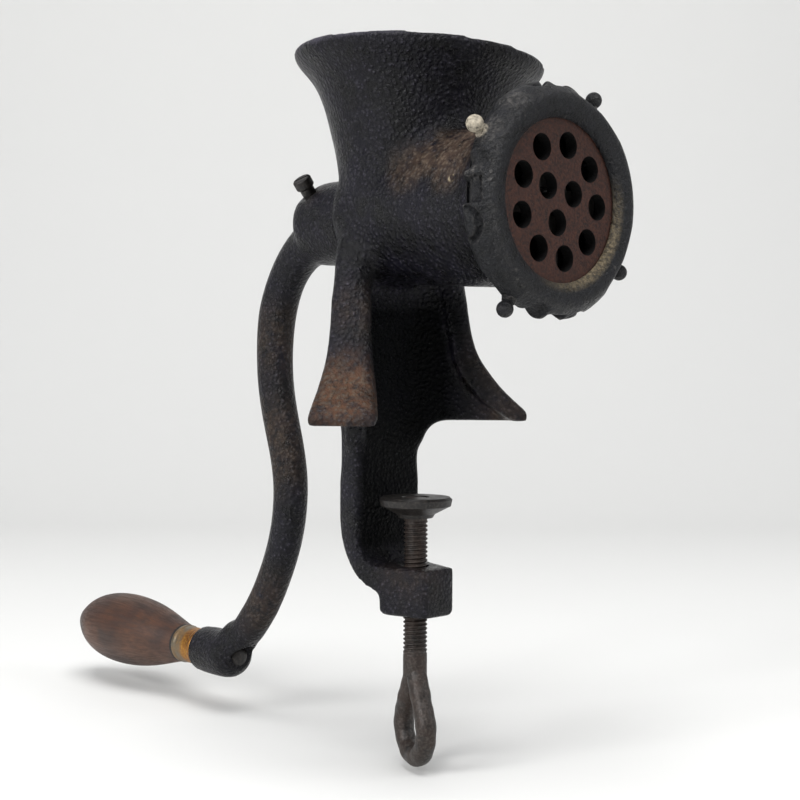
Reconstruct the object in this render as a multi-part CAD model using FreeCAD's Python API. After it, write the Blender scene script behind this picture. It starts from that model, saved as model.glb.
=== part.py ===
import FreeCAD, Part
import math
import os

# Hand crank meat grinder that clamps to a table edge. Millimetres, +Z up.
# The origin is where the clamp screw's axis meets the table top: the feet stand on z = 0.
# The mouth with the hole plate looks to -Y, and the crank turns at the +Y end.

V = FreeCAD.Vector

# Clearances
running_gap = 0.06
seat_gap = 0.02
face_gap = 0.10
open_gap = 0.35

# Barrel, lying along Y
barrel_axis_z = 67.6
barrel_rear_radius = 22.3
barrel_front_radius = 25.3
barrel_rear_y = 20.3
barrel_shoulder_round = 5.3
barrel_taper_end_y = -44.0
barrel_mouth_y = -57.3
barrel_bore_rear_radius = 18.4
barrel_bore_front_radius = 21.8
barrel_rear_wall = 5.8
rear_boss_radius = 12.0
rear_boss_length = 4.6
hub_relief_radius = 17.0
mouth_thread_radius = 27.45
mouth_thread_length = 7.8

# Hopper, a trumpet of revolution that leans a little on the barrel
hopper_y = 3.9
hopper_lean_x_deg = 3.27
hopper_lean_y_deg = 1.55
hopper_wall = 3.0
hopper_throat_radius = 17.2
# Outer radius against height above the barrel's axis, from the rim down
hopper_curve = (
    (41.3, 49.9), (40.4, 47.9), (38.3, 45.6), (34.7, 41.9), (31.9, 37.4),
    (29.4, 31.3), (27.4, 25.0), (25.7, 19.4), (24.2, 12.6), (22.4, 4.0), (19.0, -6.0),
)

# Rear strap, C-arm and screw boss
strap_width = 30.0
strap_thickness = 9.2
strap_front_y = 13.2
strap_corner_round = 2.0
arm_inner_round = 9.0
arm_outer_round = 26.0
jaw_top_z = -47.2
arm_thickness = 10.6
boss_depth = 16.0
boss_nose_y = -11.5
boss_nose_width = 13.0
boss_back_width = 23.0
boss_back_y = 6.0
boss_edge_round = 1.6

# Two feet, splayed to the front on both sides of the strap
foot_toe_x = 41.3
foot_toe_y = -10.4
foot_web_thickness = 7.0
# Reach from the strap's front corner against height: outer edge, then inner crease of the flange
foot_outer_curve = (
    (9.0, 61.0), (13.2, 53.0), (14.6, 44.4), (16.4, 30.8), (19.2, 21.6), (23.0, 15.8), (26.8, 11.0),
    (31.6, 6.3), (35.4, 2.9),
)
foot_crease_curve = (
    (30.0, 0.0), (20.4, 6.6), (14.6, 12.4), (11.3, 18.4), (9.2, 27.4), (7.4, 36.9), (6.0, 44.0), (1.0, 58.0),
)
# Half width of the flange against height
foot_width_curve = (
    (10.7, 2.8), (10.0, 6.5), (8.9, 11.5), (7.4, 20.0), (6.6, 29.0), (6.2, 40.0), (6.0, 52.0), (6.0, 64.0),
)
foot_sole_fillet = 8.0

# Casting fillets
hopper_fillet = 6.0
strap_fillet = 6.0
flange_edge_round = 1.5
hub_fillet = 5.0

# Hole plate and its key
plate_rim_clearance = 0.45
plate_thickness = 4.0
plate_hole_radius = 4.0
plate_outer_circle = 17.1
plate_outer_count = 9
plate_outer_start_deg = 77.8
plate_inner_circle = 6.6
plate_inner_count = 3
plate_inner_start_deg = 21.65
key_radius = 1.2
key_length = 9.0
key_inset = 1.4

# Ring nut
ring_lip_cover = 2.6
ring_back_y = -51.8
ring_crest_depth = 3.1
# Wall outside the thread: at the flange, at the collar behind it, at the back edge and under the notches
ring_flange_wall = 8.05
ring_collar_wall = 6.15
ring_back_wall = 3.55
ring_notch_wall = 4.95
ring_knob_radius = 2.6
ring_knob_height = 13.15
ring_knob_start_deg = 59.0
ring_knob_count = 4
ring_notch_width = 10.0
ring_notch_start_deg = 98.0

# Feed worm, its stud and the cross knife
worm_journal_radius = 8.0
worm_root_rear_radius = 8.6
worm_root_front_radius = 10.2
worm_pitch = 23.0
worm_flight_root_width = 6.0
worm_flight_tip_width = 3.4
worm_wall_gap = 0.8
worm_flight_bite = 2.0
worm_front_y = -48.4
worm_tang_side = 9.0
worm_tang_length = 22.0
washer_radius = 13.5
washer_thickness = 1.5
stud_radius = 4.0
stud_depth = 14.0
stud_square_side = 8.0
stud_pin_radius = 3.0
stud_pin_depth = 2.0
knife_radius = 20.6
knife_hub_radius = 8.8
knife_arm_width = 8.0
knife_count = 4

# Crank
hub_radius = 14.5
hub_length = 26.5
hub_rear_round = 6.0
# Centre line of the swan-neck arm from the hub to the handle boss: share of the way back, share of the
# way down, and the half width in the plane of the curve
arm_curve = (
    (0.0000, 0.0000, 9.6), (0.1654, 0.0234, 8.6), (0.3024, 0.0615, 7.9), (0.4094, 0.1160, 7.6),
    (0.4772, 0.1882, 7.5), (0.4976, 0.2636, 7.3), (0.4882, 0.3390, 7.2), (0.4409, 0.4214, 7.1),
    (0.3843, 0.4943, 7.0), (0.3512, 0.5627, 6.9), (0.3559, 0.6318, 6.8), (0.3969, 0.7028, 6.7),
    (0.4756, 0.7763, 6.6), (0.5858, 0.8517, 6.6), (0.7213, 0.9195, 6.8), (0.8598, 0.9728, 7.2),
    (1.0000, 1.0000, 7.6),
)
arm_root_depth = 8.0
arm_root_drop = 2.1
arm_end_depth = 8.1
arm_side_flattening = 0.86
crank_throw = 159.9
crank_boss_front_y = 99.4
crank_boss_length = 20.0
crank_boss_radius = 9.2
crank_boss_round = 2.2
set_screw_y = 46.0
set_screw_tilt_deg = 38.0
set_screw_radius = 2.5
set_screw_head_radius = 3.3
set_screw_head_height = 3.8
set_screw_neck = 2.2
set_screw_slot = 1.0

# Handle
spindle_radius = 3.0
spindle_rivet_radius = 3.6
spindle_rivet_height = 1.3
spindle_head_radius = 5.0
spindle_head_thickness = 2.4
spindle_washer_radius = 5.4
spindle_washer_thickness = 1.0
ferrule_radius = 7.2
ferrule_wall = 0.9
ferrule_length = 12.6
grip_end_recess_radius = 6.2
# Grip radius against distance from the ferrule's outer edge
grip_curve = (
    (0.0, 7.2), (8.0, 9.0), (18.0, 11.5), (29.0, 13.5), (39.0, 14.3), (48.0, 14.1), (56.0, 12.9),
    (63.0, 10.6), (67.5, 8.4), (70.5, 6.8),
)

# Clamp screw and its pad
screw_radius = 4.0
screw_top_z = -31.4
screw_thread_end_z = -76.7
loop_rod_radius = 3.5
loop_bend_radius = 9.5
loop_bend_z = -100.7
loop_apex_z = -81.0
loop_turn_deg = 69.3
pad_top_z = -24.5
pad_radius = 12.0
pad_rim = 2.9
pad_neck_radius = 6.4
spigot_radius = 2.6
spigot_head_radius = 4.0
spigot_head_depth = 1.6

# Derived places
mouth_plane_y = barrel_mouth_y
plate_radius = mouth_thread_radius - plate_rim_clearance
key_circle = plate_radius - key_inset
ring_aperture_radius = plate_radius - ring_lip_cover
ring_flange_radius = mouth_thread_radius + ring_flange_wall
ring_collar_radius = mouth_thread_radius + ring_collar_wall
ring_back_radius = mouth_thread_radius + ring_back_wall
ring_notch_floor = mouth_thread_radius + ring_notch_wall
ring_knob_reach = mouth_thread_radius + ring_knob_height
plate_front_y = mouth_plane_y - plate_thickness
strap_rear_y = strap_front_y + strap_thickness
rear_boss_y = barrel_rear_y + rear_boss_length
hub_front_y = rear_boss_y + 6 * face_gap
hub_rear_y = hub_front_y + hub_length
handle_axis_z = barrel_axis_z - crank_throw
boss_rear_y = crank_boss_front_y + crank_boss_length
ferrule_start_y = boss_rear_y + open_gap
grip_start_y = ferrule_start_y + ferrule_length
grip_length = grip_curve[-1][0]
grip_end_y = grip_start_y + grip_length
boss_bottom_z = jaw_top_z - boss_depth
barrel_axis = V(0, 0, barrel_axis_z)
handle_axis = V(0, 0, handle_axis_z)


def face_of(edges):
    return Part.Face(Part.Wire(edges))


def spline(points):
    curve = Part.BSplineCurve()
    curve.interpolate(points)
    return curve.toShape()


def ring_of_lines(points):
    return Part.makePolygon(list(points) + [points[0]])


def turned_along_y(profile, centre):
    """Solid of revolution about a line along Y; the profile is given as y and radius."""
    wire = ring_of_lines([centre + V(0, y, radius) for y, radius in profile])
    return Part.Face(wire).revolve(centre, V(0, 1, 0), 360)


def turned_along_z(profile):
    """Solid of revolution about Z; the profile is given as radius and z."""
    wire = ring_of_lines([V(radius, 0, z) for radius, z in profile])
    return Part.Face(wire).revolve(V(0, 0, 0), V(0, 0, 1), 360)


def rod_y(radius, y_from, y_to, centre):
    start, end = min(y_from, y_to), max(y_from, y_to)
    return Part.makeCylinder(radius, end - start, centre + V(0, start, 0), V(0, 1, 0))


def rod_z(radius, z_from, z_to):
    low, high = min(z_from, z_to), max(z_from, z_to)
    return Part.makeCylinder(radius, high - low, V(0, 0, low))


def square_bar_y(side, y_from, y_to, turn_deg, centre):
    start, end = min(y_from, y_to), max(y_from, y_to)
    bar = Part.makeBox(side, end - start, side, centre + V(-side / 2, start, -side / 2))
    bar.rotate(centre, V(0, 1, 0), turn_deg)
    return bar


def on_circle(radius, angle_deg, y, centre):
    angle = math.radians(angle_deg)
    return centre + V(radius * math.cos(angle), y, radius * math.sin(angle))


def rounded(shape, radius, edges):
    """Fillet the edges; where the radius doesn't fit them, the corner stays sharp."""
    try:
        result = shape.makeFillet(radius, edges)
    except Part.OCCError:
        return shape
    if not result.isValid() or len(result.Solids) != 1:
        return shape
    return result


def edges_where(shape, test):
    return [edge for edge in shape.Edges if test(edge, edge.BoundBox)]


def surfaces_at(shape, edge):
    touching = [face for face in shape.Faces if any(side.isSame(edge) for side in face.Edges)]
    return {type(face.Surface).__name__ for face in touching}


def export(shape, node):
    shape.removeSplitter().exportStep("parts/" + node + ".step")


def bore_radius_at(y):
    """Radius of the tapered barrel bore at a place along the barrel."""
    rear = barrel_rear_y - barrel_rear_wall
    share = (y - rear) / (barrel_taper_end_y - rear)
    share = min(max(share, 0.0), 1.0)
    return barrel_bore_rear_radius + share * (barrel_bore_front_radius - barrel_bore_rear_radius)


def barrel_outside():
    shoulder = barrel_shoulder_round
    axis = barrel_axis
    inner = barrel_rear_radius - shoulder
    bend = shoulder * math.sqrt(0.5)
    thread_start = mouth_plane_y + mouth_thread_length
    at = lambda y, radius: axis + V(0, y, radius)
    centre_y = barrel_rear_y - shoulder
    edges = [
        Part.makeLine(at(rear_boss_y, 0), at(rear_boss_y, rear_boss_radius)),
        Part.makeLine(at(rear_boss_y, rear_boss_radius), at(barrel_rear_y, rear_boss_radius)),
        Part.makeLine(at(barrel_rear_y, rear_boss_radius), at(barrel_rear_y, inner)),
        Part.Arc(at(barrel_rear_y, inner), at(centre_y + bend, inner + bend),
                 at(centre_y, barrel_rear_radius)).toShape(),
        Part.makeLine(at(centre_y, barrel_rear_radius), at(barrel_taper_end_y, barrel_front_radius)),
        Part.makeLine(at(barrel_taper_end_y, barrel_front_radius), at(thread_start, mouth_thread_radius)),
        Part.makeLine(at(thread_start, mouth_thread_radius), at(mouth_plane_y, mouth_thread_radius)),
        Part.makeLine(at(mouth_plane_y, mouth_thread_radius), at(mouth_plane_y, 0)),
        Part.makeLine(at(mouth_plane_y, 0), at(rear_boss_y, 0)),
    ]
    return face_of(edges).revolve(axis, V(0, 1, 0), 360)


def barrel_inside():
    rear = barrel_rear_y - barrel_rear_wall
    bore = turned_along_y([
        (rear, 0), (rear, barrel_bore_rear_radius), (barrel_taper_end_y, barrel_bore_front_radius),
        (mouth_plane_y - 1, barrel_bore_front_radius), (mouth_plane_y - 1, 0),
    ], barrel_axis)
    bearing = rod_y(worm_journal_radius + running_gap, rear - 1, rear_boss_y + 1, barrel_axis)
    return bore.fuse(bearing)


def lean_hopper(shape):
    """Set a hopper shape made about Z on the barrel, with the casting's lean."""
    shape.rotate(V(0, 0, 0), V(0, 1, 0), hopper_lean_x_deg)
    shape.rotate(V(0, 0, 0), V(1, 0, 0), hopper_lean_y_deg)
    shape.translate(V(0, hopper_y, barrel_axis_z))
    return shape


def hopper_outside():
    points = [V(radius, 0, height) for radius, height in hopper_curve]
    top, low = points[0], points[-1]
    rim = V(top.x - hopper_wall, 0, top.z)
    crown = V(top.x - hopper_wall / 2, 0, top.z + hopper_wall / 2)
    edges = [
        spline(points),
        Part.makeLine(low, V(0, 0, low.z)),
        Part.makeLine(V(0, 0, low.z), V(0, 0, rim.z)),
        Part.makeLine(V(0, 0, rim.z), rim),
        Part.Arc(rim, crown, top).toShape(),
    ]
    return lean_hopper(face_of(edges).revolve(V(0, 0, 0), V(0, 0, 1), 360))


def hopper_inside():
    flare = [V(radius - hopper_wall, 0, height) for radius, height in hopper_curve[:-4]]
    top, low = flare[0], flare[-1]
    throat_top = V(hopper_throat_radius, 0, low.z - (low.x - hopper_throat_radius))
    above = top.z + hopper_wall
    edges = [
        spline(flare),
        Part.makeLine(low, throat_top),
        Part.makeLine(throat_top, V(hopper_throat_radius, 0, 0)),
        Part.makeLine(V(hopper_throat_radius, 0, 0), V(0, 0, 0)),
        Part.makeLine(V(0, 0, 0), V(0, 0, above)),
        Part.makeLine(V(0, 0, above), V(top.x, 0, above)),
        Part.makeLine(V(top.x, 0, above), top),
    ]
    return lean_hopper(face_of(edges).revolve(V(0, 0, 0), V(0, 0, 1), 360))


def strap_and_arm():
    """C-shaped strap: down from the barrel, round the table's edge and forward to the jaw."""
    top_z = barrel_axis_z - barrel_bore_rear_radius
    front, rear = strap_front_y, strap_rear_y
    under_z = jaw_top_z - arm_thickness
    bend = math.sqrt(0.5)
    inner, outer = arm_inner_round, arm_outer_round
    at = lambda y, z: V(-strap_width / 2, y, z)
    edges = [
        Part.makeLine(at(rear, top_z), at(rear, under_z + outer)),
        Part.Arc(at(rear, under_z + outer), at(rear - outer * (1 - bend), under_z + outer * (1 - bend)),
                 at(rear - outer, under_z)).toShape(),
        Part.makeLine(at(rear - outer, under_z), at(boss_nose_y, under_z)),
        Part.makeLine(at(boss_nose_y, under_z), at(boss_nose_y, jaw_top_z)),
        Part.makeLine(at(boss_nose_y, jaw_top_z), at(front - inner, jaw_top_z)),
        Part.Arc(at(front - inner, jaw_top_z), at(front - inner * (1 - bend), jaw_top_z + inner * (1 - bend)),
                 at(front, jaw_top_z + inner)).toShape(),
        Part.makeLine(at(front, jaw_top_z + inner), at(front, top_z)),
        Part.makeLine(at(front, top_z), at(rear, top_z)),
    ]
    side = face_of(edges).extrude(V(strap_width, 0, 0))
    half, back, nose = strap_width / 2, boss_back_width / 2, boss_nose_width / 2
    plan = [(half, rear + 1), (half, front), (back, boss_back_y), (nose, boss_nose_y)]
    outline = [V(x, y, boss_bottom_z - 1) for x, y in plan]
    outline += [V(-x, y, boss_bottom_z - 1) for x, y in reversed(plan)]
    limit = Part.Face(ring_of_lines(outline)).extrude(V(0, 0, top_z - boss_bottom_z + 2))
    shape = side.common(limit)
    upright = [edge for edge in shape.Edges if edge.Length > 60 and edge.BoundBox.ZLength > 60]
    return shape.makeFillet(strap_corner_round, upright)


def screw_boss():
    back, nose = boss_back_width / 2, boss_nose_width / 2
    plan = [V(back, boss_back_y, boss_bottom_z), V(nose, boss_nose_y, boss_bottom_z),
            V(-nose, boss_nose_y, boss_bottom_z), V(-back, boss_back_y, boss_bottom_z)]
    boss = Part.Face(ring_of_lines(plan)).extrude(V(0, 0, boss_depth))
    lower = [edge for edge in boss.Edges if edge.BoundBox.ZMax < boss_bottom_z + boss_depth / 2]
    return boss.makeFillet(boss_edge_round, lower)


def foot(side):
    """One splayed leg: a flange that flares to the toe, and a web that ties it to the strap."""
    corner = V(strap_width / 2, strap_front_y, 0)
    toe = V(foot_toe_x, foot_toe_y, 0)
    reach = toe.sub(corner)
    length = reach.Length
    along = V(reach.x / length, reach.y / length, 0)
    across = V(-along.y, along.x, 0)
    at = lambda t, z: corner + along * t + V(0, 0, z)
    outer = [at(t, z) for t, z in foot_outer_curve]
    crease = [at(t, z) for t, z in foot_crease_curve]
    widest = max(half for half, z in foot_width_curve)
    tip = at(length, foot_width_curve[0][1] / 2)
    edges = [
        spline(outer), Part.makeLine(outer[-1], tip), Part.makeLine(tip, at(length, 0)),
        Part.makeLine(at(length, 0), crease[0]), spline(crease), Part.makeLine(crease[-1], outer[0]),
    ]
    flange = face_of(edges)
    flange.translate(across * -widest)
    flange = flange.extrude(across * (2 * widest))
    right = [corner + across * half + V(0, 0, z) for half, z in foot_width_curve]
    left = [corner - across * half + V(0, 0, z) for half, z in foot_width_curve]
    foot_right, foot_left = V(right[0].x, right[0].y, 0), V(left[0].x, left[0].y, 0)
    width_edges = [
        Part.makeLine(foot_left, foot_right), Part.makeLine(foot_right, right[0]), spline(right),
        Part.makeLine(right[-1], left[-1]), spline(list(reversed(left))), Part.makeLine(left[0], foot_left),
    ]
    width = face_of(width_edges)
    width.translate(along * -length)
    flange = flange.common(width.extrude(along * (3 * length)))
    fillet, inside = foot_sole_fillet, -strap_thickness
    bend = 1 - math.sqrt(0.5)
    web_edges = [
        Part.makeLine(at(inside, -fillet), at(0.4, -fillet)),
        Part.Arc(at(0.4, -fillet), at(0.4 + fillet * bend, -fillet * bend), at(0.4 + fillet, 0)).toShape(),
        Part.makeLine(at(0.4 + fillet, 0), crease[0]), spline(crease),
        Part.makeLine(crease[-1], at(inside, foot_crease_curve[-1][1])),
        Part.makeLine(at(inside, foot_crease_curve[-1][1]), at(inside, -fillet)),
    ]
    web = face_of(web_edges)
    web.translate(across * (-foot_web_thickness / 2))
    leg = flange.fuse(web.extrude(across * foot_web_thickness))
    if side < 0:
        leg = leg.mirror(V(0, 0, 0), V(1, 0, 0))
    return leg


def body_casting():
    shape = barrel_outside().fuse([hopper_outside(), strap_and_arm(), screw_boss(), foot(1), foot(-1)])
    shape = shape.removeSplitter()
    hopper_seam = edges_where(shape, lambda edge, box: box.ZMin > barrel_axis_z - 2 and box.YMax < hopper_y
                              and edge.Length > 20
                              and surfaces_at(shape, edge) == {"SurfaceOfRevolution", "Cone"})
    shape = rounded(shape, hopper_fillet, hopper_seam)
    strap_corners = edges_where(shape, lambda edge, box: box.ZLength > 40 and box.XLength < 1
                                and box.ZMin > -2 * foot_sole_fillet and box.YMax < strap_front_y + 1)
    shape = rounded(shape, strap_fillet, strap_corners)
    lip = foot_width_curve[0][1]
    flange_edges = edges_where(shape, lambda edge, box: box.ZLength > 40 and box.XLength > 8
                               and lip / 2 < box.ZMin < lip + 1 and edge.Length < 80)
    shape = rounded(shape, flange_edge_round, flange_edges)
    shape = shape.cut(barrel_inside()).cut(hopper_inside())
    shape = shape.cut(rod_z(screw_radius + running_gap, boss_bottom_z - 1, jaw_top_z + 1))
    shape = shape.cut(rod_y(hub_relief_radius, rear_boss_y, hopper_y + hopper_curve[0][0], barrel_axis))
    key_start = plate_front_y + face_gap
    key_hole = rod_y(key_radius, key_start, key_start + key_length + seat_gap,
                     on_circle(key_circle, 90, 0, barrel_axis))
    return shape.cut(key_hole)


def plate_key_pin():
    start = plate_front_y + face_gap
    return rod_y(key_radius - seat_gap, start, start + key_length, on_circle(key_circle, 90, 0, barrel_axis))


def grinder_plate():
    plate = rod_y(plate_radius, plate_front_y, mouth_plane_y, barrel_axis)
    holes = []
    for count, start, circle in (
        (plate_outer_count, plate_outer_start_deg, plate_outer_circle),
        (plate_inner_count, plate_inner_start_deg, plate_inner_circle),
    ):
        for step in range(count):
            centre = on_circle(circle, start + step * 360 / count, 0, barrel_axis)
            holes.append(rod_y(plate_hole_radius, plate_front_y - 1, mouth_plane_y + 1, centre))
    recess = rod_y(stud_pin_radius + running_gap, mouth_plane_y - stud_pin_depth, mouth_plane_y + 1,
                   barrel_axis)
    slot_half = key_radius + running_gap
    slot = rod_y(slot_half, plate_front_y - 1, mouth_plane_y + 1, on_circle(key_circle, 90, 0, barrel_axis))
    slot_top = Part.makeBox(2 * slot_half, plate_thickness + 2, plate_radius,
                            barrel_axis + V(-slot_half, plate_front_y - 1, key_circle))
    return plate.cut(holes + [recess, slot, slot_top])


def ring_nut():
    """Flared ring with a lip over the plate, four knobs and four thumb notches."""
    bore = mouth_thread_radius + running_gap
    seat_y = plate_front_y - face_gap / 2
    crest_y = plate_front_y - ring_crest_depth
    flange, collar = ring_flange_radius, ring_collar_radius
    at = lambda y, radius: barrel_axis + V(0, y, radius)
    outside = [
        at(seat_y - 0.8, ring_aperture_radius), at(crest_y + 0.4, ring_aperture_radius + 3.0),
        at(crest_y, ring_aperture_radius + 5.4), at(crest_y + 1.0, flange - 1.7),
        at(plate_front_y + 0.4, flange), at(plate_front_y + 3.2, flange - 0.2),
        at(plate_front_y + 5.0, collar + 0.7), at(plate_front_y + 7.0, collar - 1.0),
        at(ring_back_y, ring_back_radius),
    ]
    edges = [
        Part.makeLine(at(ring_back_y, bore), at(seat_y, bore)),
        Part.makeLine(at(seat_y, bore), at(seat_y, ring_aperture_radius)),
        Part.makeLine(at(seat_y, ring_aperture_radius), outside[0]),
        Part.makeLine(outside[0], outside[1]),
        spline(outside[1:]),
        Part.makeLine(outside[-1], at(ring_back_y, bore)),
    ]
    ring = face_of(edges).revolve(barrel_axis, V(0, 1, 0), 360)
    knob_y = plate_front_y + 3.6
    knobs, notches = [], []
    for step in range(ring_knob_count):
        turn = step * 360 / ring_knob_count
        base = on_circle(ring_back_radius - 0.5, ring_knob_start_deg + turn, knob_y, barrel_axis)
        end = on_circle(ring_knob_reach - ring_knob_radius, ring_knob_start_deg + turn, knob_y, barrel_axis)
        stem = end.sub(base)
        knobs.append(Part.makeCone(ring_knob_radius + 0.6, ring_knob_radius - 0.25, stem.Length, base, stem))
        knobs.append(Part.makeSphere(ring_knob_radius, end))
        half = ring_notch_width / 2
        centre_y = ring_back_y - half
        floor = Part.makeCylinder(half, flange, barrel_axis + V(ring_notch_floor, centre_y, 0), V(1, 0, 0))
        mouth = Part.makeBox(flange, 2 * half, 2 * half, barrel_axis + V(ring_notch_floor, centre_y, -half))
        notch = floor.fuse(mouth)
        notch.rotate(barrel_axis, V(0, 1, 0), -(ring_notch_start_deg + turn))
        notches.append(notch)
    return ring.fuse(knobs).cut(notches)


def thrust_washer():
    rear = barrel_rear_y - barrel_rear_wall
    disc = rod_y(washer_radius, rear - washer_thickness, rear, barrel_axis)
    hole = rod_y(worm_journal_radius + running_gap, rear - washer_thickness - 1, rear + 1, barrel_axis)
    return disc.cut(hole)


def worm_flight(rear):
    """Left-handed flight: four helical edges, ruled faces between them, closed at both ends."""
    half_root, half_tip = worm_flight_root_width / 2, worm_flight_tip_width / 2
    first, last = worm_front_y + half_root, rear - half_root
    turns = (last - first) / worm_pitch
    steps = int(turns * 24)
    edges = {"root_front": [], "tip_front": [], "tip_rear": [], "root_rear": []}
    for step in range(steps + 1):
        share = step / steps
        angle = -2 * math.pi * turns * share
        middle = first + share * (last - first)
        tip = bore_radius_at(middle) - worm_wall_gap
        root = worm_root_rear_radius - worm_flight_bite
        out = V(math.sin(angle), 0, math.cos(angle))
        for name, radius, offset in (
            ("root_front", root, -half_root), ("tip_front", tip, -half_tip),
            ("tip_rear", tip, half_tip), ("root_rear", root, half_root),
        ):
            edges[name].append(barrel_axis + out * radius + V(0, middle + offset, 0))
    curves = [spline(points) for points in edges.values()]
    faces = [Part.makeRuledSurface(curves[i], curves[(i + 1) % 4]) for i in range(4)]
    for end in (0, -1):
        corners = [points[end] for points in edges.values()]
        faces.append(Part.Face(ring_of_lines(corners)))
    return Part.makeSolid(Part.makeShell(faces))


def feed_worm():
    """Worm with a tapered root, a flight that follows the barrel's taper, a journal and a square tang."""
    rear = barrel_rear_y - barrel_rear_wall - washer_thickness - face_gap
    root = turned_along_y([
        (rear, 0), (rear, worm_root_rear_radius), (worm_front_y, worm_root_front_radius), (worm_front_y, 0),
    ], barrel_axis)
    journal = rod_y(worm_journal_radius, rear - 1, rear_boss_y + face_gap, barrel_axis)
    tang = square_bar_y(worm_tang_side, rear_boss_y - 1, hub_front_y + worm_tang_length, -set_screw_tilt_deg,
                        barrel_axis)
    worm = root.fuse([worm_flight(rear), journal, tang])
    socket = rod_y(stud_radius + seat_gap, worm_front_y - 1, worm_front_y + stud_depth + seat_gap, barrel_axis)
    return worm.cut(socket)


def knife_stud():
    pin_end = mouth_plane_y - stud_pin_depth + face_gap
    shank = rod_y(stud_radius, worm_front_y - 0.5, worm_front_y + stud_depth, barrel_axis)
    square = square_bar_y(stud_square_side, mouth_plane_y + 2.0, worm_front_y - face_gap, 0, barrel_axis)
    pin = rod_y(stud_pin_radius, pin_end, mouth_plane_y + 3.0, barrel_axis)
    return shank.fuse([square, pin])


def cutter_knife():
    """Four-armed knife: flat cutting face on the plate, arms chamfered on the trailing side."""
    front, rear = mouth_plane_y + face_gap, worm_front_y - 2 * face_gap
    depth = rear - front
    knife = rod_y(knife_hub_radius, front, rear, barrel_axis)
    arms = []
    for step in range(knife_count):
        half = knife_arm_width / 2
        section = [V(0, front, -half), V(0, front, half), V(0, front + depth * 0.35, half),
                   V(0, rear, half * 0.1), V(0, rear, -half)]
        arm = Part.Face(ring_of_lines(section)).extrude(V(knife_radius, 0, 0))
        arm.translate(barrel_axis)
        arm.rotate(barrel_axis, V(0, 1, 0), step * 360 / knife_count)
        arms.append(arm)
    knife = knife.fuse(arms).common(rod_y(knife_radius, front, rear, barrel_axis))
    hole = square_bar_y(stud_square_side + 2 * running_gap, front - 1, rear + 1, 0, barrel_axis)
    return knife.cut(hole)


def set_screw_direction():
    tilt = math.radians(set_screw_tilt_deg)
    return V(-math.sin(tilt), 0, math.cos(tilt))


def crank_arm():
    """Swan-neck arm lofted through ovals along its centre line, between the hub and the handle boss."""
    hub = rod_y(hub_radius, hub_front_y, hub_rear_y, barrel_axis)
    rear_edges = [edge for edge in hub.Edges if edge.BoundBox.YMin > hub_rear_y - 0.01]
    hub = hub.makeFillet(hub_rear_round, rear_edges)
    root = V(0, hub_rear_y - arm_root_depth, barrel_axis_z - arm_root_drop)
    end = V(0, crank_boss_front_y + arm_end_depth, handle_axis_z)
    span = end.sub(root)
    places = [root + V(0, back * span.y, down * span.z) for back, down, half in arm_curve]
    path = Part.BSplineCurve()
    path.interpolate(places)
    sections = []
    for place, (back, down, half) in zip(places, arm_curve):
        tangent = path.tangent(path.parameter(place))[0]
        in_plane = tangent.cross(V(1, 0, 0))
        side = half * arm_side_flattening
        major = place + in_plane * half
        minor = place + V(side, 0, 0)
        sections.append(Part.Wire(Part.Ellipse(major, minor, place).toShape()))
    arm = Part.makeLoft(sections, True, False)
    boss = rod_y(crank_boss_radius, crank_boss_front_y, boss_rear_y, handle_axis)
    boss = boss.makeFillet(crank_boss_round, [edge for edge in boss.Edges if edge.BoundBox.YLength < 0.01])
    shape = hub.fuse([arm, boss]).removeSplitter()
    arm_root = edges_where(shape, lambda edge, box: box.YMax < hub_rear_y + 5 and edge.Length > 8
                           and "BSplineSurface" in surfaces_at(shape, edge)
                           and len(surfaces_at(shape, edge)) == 2)
    shape = rounded(shape, hub_fillet, arm_root)
    socket = square_bar_y(worm_tang_side + 2 * running_gap, hub_front_y - 1,
                          hub_front_y + worm_tang_length + face_gap, -set_screw_tilt_deg, barrel_axis)
    ahead = rod_y(hub_radius + 5, hub_front_y - 30, hub_front_y, barrel_axis)
    screw_hole = Part.makeCylinder(set_screw_radius + seat_gap, hub_radius + 5,
                                   barrel_axis + V(0, set_screw_y, 0), set_screw_direction())
    flat_at = barrel_axis + V(0, set_screw_y, 0) + set_screw_direction() * (hub_radius - 1.2)
    spot_face = Part.makeCylinder(2 * set_screw_radius + 0.6, 10, flat_at, set_screw_direction())
    rivet_bore = rod_y(spindle_radius + seat_gap, crank_boss_front_y - 15, boss_rear_y + 1, handle_axis)
    clear_front = rod_y(crank_boss_radius - crank_boss_round, crank_boss_front_y - 15, crank_boss_front_y,
                        handle_axis)
    return shape.cut([socket, ahead, screw_hole, spot_face, rivet_bore, clear_front])


def crank_set_screw():
    start = worm_tang_side / 2 + seat_gap
    foot_at = barrel_axis + V(0, set_screw_y, 0)
    direction = set_screw_direction()
    neck_end = hub_radius - 1.2 + set_screw_neck
    shank = Part.makeCylinder(set_screw_radius, neck_end - start, foot_at + direction * start, direction)
    head_at = foot_at + direction * neck_end
    head = Part.makeCylinder(set_screw_head_radius, set_screw_head_height, head_at, direction)
    head = head.makeFillet(0.8, [edge for edge in head.Edges if edge.Curve.TypeId == "Part::GeomCircle"])
    slot = Part.makeBox(set_screw_slot, 4 * set_screw_head_radius, set_screw_head_height)
    slot.translate(V(-set_screw_slot / 2, -2 * set_screw_head_radius, neck_end + set_screw_head_height * 0.55))
    slot.rotate(V(0, 0, 0), V(0, 0, 1), 35)
    slot.rotate(V(0, 0, 0), V(0, 1, 0), -set_screw_tilt_deg)
    slot.translate(foot_at)
    return shank.fuse(head).cut(slot)


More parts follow.
